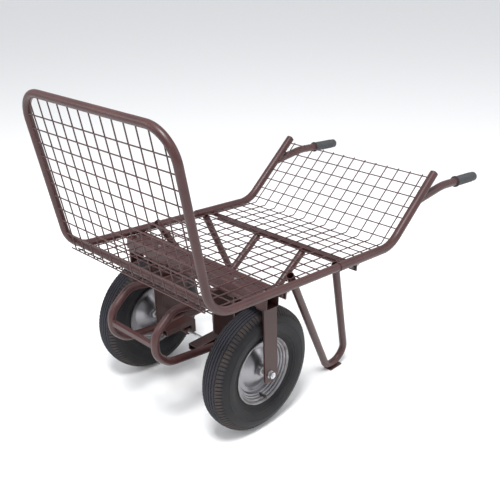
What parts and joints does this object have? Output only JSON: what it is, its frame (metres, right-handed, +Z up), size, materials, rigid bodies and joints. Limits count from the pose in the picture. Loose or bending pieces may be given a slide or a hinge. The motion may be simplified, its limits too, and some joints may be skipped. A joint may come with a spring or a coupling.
{
  "type": "firewood barrow",
  "caption": "Barrow for split logs: a bent tube tray frame lined with welded wire mesh, on pneumatic wheels, with nose guards, bent legs and rubber grips.",
  "frame": {"origin": "on the ground, under the middle of the overall length and width", "axes": "+Y back towards the handles, +X to the left of a person who pushes it, +Z up"},
  "size_m": [0.7, 1.4252, 1.0298],
  "materials": {
    "brown_paint": "satin brown powder coat",
    "mesh_paint": "satin brown powder coat on wire",
    "zinc": "bright zinc plate",
    "rim_paint": "silver paint",
    "tyre": "matt black rubber",
    "tube_rubber": "matt black rubber",
    "grip_rubber": "matt dark grey rubber",
    "black_plastic": "matt black",
    "bush_plastic": "off-white nylon"
  },
  "bodies": {
    "frame": {"front_hoop": "brown_paint", "rear_rail_left": "brown_paint", "rear_rail_right": "brown_paint", "post_caps": "black_plastic", "handle_left": "brown_paint", "handle_right": "brown_paint", "grip_left": "grip_rubber", "grip_right": "grip_rubber", "front_mesh": "mesh_paint", "floor_mesh": "mesh_paint", "rear_mesh": "mesh_paint", "front_cross_bar": "brown_paint", "wheel_cross_member": "brown_paint", "middle_cross_member": "brown_paint", "rear_cross_member": "brown_paint", "rail_tabs": "brown_paint", "tab_bolts": "zinc", "tab_nuts": "zinc", "tab_washers": "zinc", "outer_struts": "brown_paint", "inner_struts": "brown_paint", "strut_bolts": "zinc", "strut_nuts": "zinc", "hanger_plate_left": "brown_paint", "hanger_plate_right": "brown_paint", "axle_saddle_left": "brown_paint", "axle_saddle_right": "brown_paint", "guard_left": "brown_paint", "guard_right": "brown_paint", "guard_cross_bar": "brown_paint", "axle": "zinc", "axle_sleeves": "brown_paint", "axle_spacers": "zinc", "axle_washers": "zinc", "axle_nuts": "zinc", "leg_left": "brown_paint", "leg_right": "brown_paint", "foot_pads": "brown_paint"},
    "wheel_left": {"tyre_left": "tyre", "inner_tube_left": "tube_rubber", "rim_outer_left": "rim_paint", "rim_inner_left": "rim_paint", "hub_left": "rim_paint", "hub_bushes_left": "bush_plastic", "valve_left": "tube_rubber", "valve_cap_left": "black_plastic"},
    "wheel_right": {"tyre_right": "tyre", "inner_tube_right": "tube_rubber", "rim_outer_right": "rim_paint", "rim_inner_right": "rim_paint", "hub_right": "rim_paint", "hub_bushes_right": "bush_plastic", "valve_right": "tube_rubber", "valve_cap_right": "black_plastic"}
  },
  "joints": [
    {"name": "wheel_left_spin", "type": "hinge", "parent": "frame", "child": "wheel_left", "pos_m": [0.256, -0.37501, 0.2], "axis": [1, 0, 0], "continuous": true},
    {"name": "wheel_right_spin", "type": "hinge", "parent": "frame", "child": "wheel_right", "pos_m": [-0.256, -0.37501, 0.2], "axis": [1, 0, 0], "continuous": true}
  ]
}
